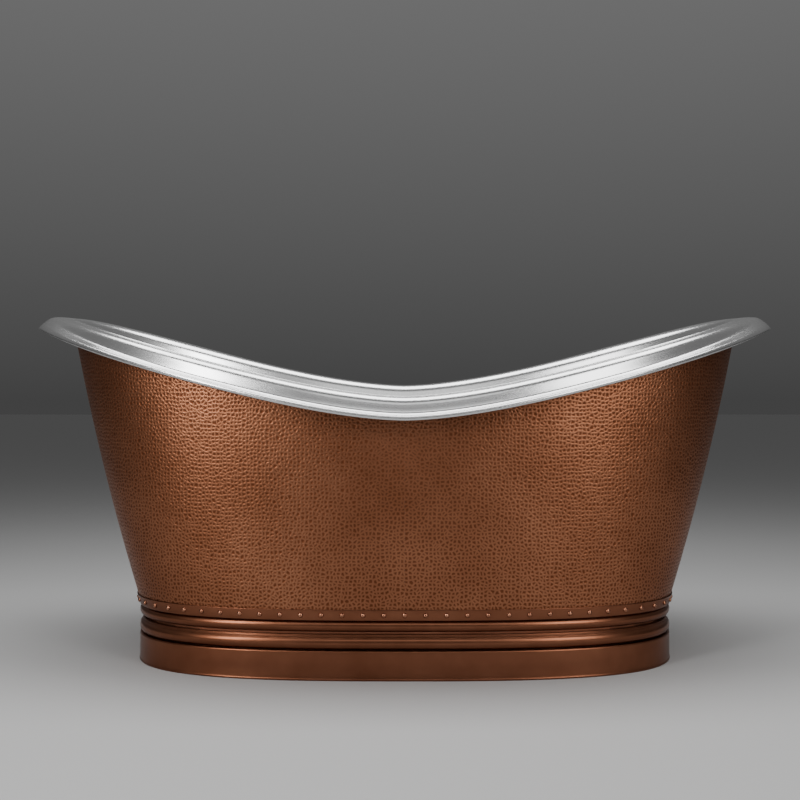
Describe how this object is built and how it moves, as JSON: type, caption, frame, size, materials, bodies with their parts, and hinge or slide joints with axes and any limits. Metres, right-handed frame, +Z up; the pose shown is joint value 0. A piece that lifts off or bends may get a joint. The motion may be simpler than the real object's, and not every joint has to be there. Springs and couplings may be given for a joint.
{
  "type": "freestanding bathtub",
  "caption": "Freestanding double-slipper bath: hammered copper shell on a riveted moulded plinth, with a rolled nickel rim, a nickel basin and a lift-and-turn waste.",
  "frame": {"origin": "on the floor under the middle of the bath, which is the waste's axis", "axes": "+X along the bath, +Y across it, +Z up out of the basin"},
  "size_m": [1.702, 0.813, 0.7751],
  "materials": {
    "black_rubber": "matt black rubber",
    "hammered_copper": "hand-hammered copper with a dark brown patina",
    "nickel_fittings": "brushed nickel plate over brass",
    "nickel_plate": "satin nickel plate over copper",
    "painted_frame": "black painted steel",
    "plain_brass": "bare turned brass",
    "plated_bolts": "zinc-plated steel",
    "smooth_copper": "smooth copper with a dark brown patina"
  },
  "bodies": {
    "bath": {"basin": "nickel_plate", "bearer_1": "painted_frame", "bearer_2": "painted_frame", "bearer_3": "painted_frame", "bearer_4": "painted_frame", "brass_washer": "plain_brass", "flange_gasket": "black_rubber", "foot_ring": "painted_frame", "frame_bolt_1": "plated_bolts", "frame_bolt_2": "plated_bolts", "frame_bolt_3": "plated_bolts", "frame_bolt_4": "plated_bolts", "frame_bolt_5": "plated_bolts", "frame_bolt_6": "plated_bolts", "frame_bolt_7": "plated_bolts", "frame_bolt_8": "plated_bolts", "lower_ring": "smooth_copper", "outer_shell": "hammered_copper", "pad_1": "black_rubber", "pad_2": "black_rubber", "pad_3": "black_rubber", "pad_4": "black_rubber", "pad_5": "black_rubber", "pad_6": "black_rubber", "pan_washer": "black_rubber", "plinth_band": "smooth_copper", "rail_back": "painted_frame", "rail_front": "painted_frame", "rim": "nickel_plate", "rim_wire": "painted_frame", "skirt": "smooth_copper", "slip_nut": "nickel_fittings", "stopper_post": "plain_brass", "strap": "smooth_copper", "tail_pipe": "nickel_fittings", "tail_washer": "black_rubber", "upper_ring": "smooth_copper", "waste_flange": "nickel_fittings", "waste_nut": "plain_brass"},
    "stopper": {"stopper_cap": "nickel_fittings", "stopper_seal": "black_rubber"},
    "knob": {"stopper_knob": "nickel_fittings", "knob_clip": "plain_brass"}
  },
  "joints": [
    {"name": "stopper_lift", "type": "slide", "parent": "bath", "child": "stopper", "axis": [0, 0, 1], "range_m": [0, 0.01]},
    {"name": "knob_turn", "type": "hinge", "parent": "stopper", "child": "knob", "pos_m": [0, 0, 0.13], "axis": [0, 0, 1], "range_deg": [0, 90]}
  ],
  "couplings": [
    {"joint": "knob_turn", "follows": "stopper_lift", "rad_per_m": 157}
  ]
}
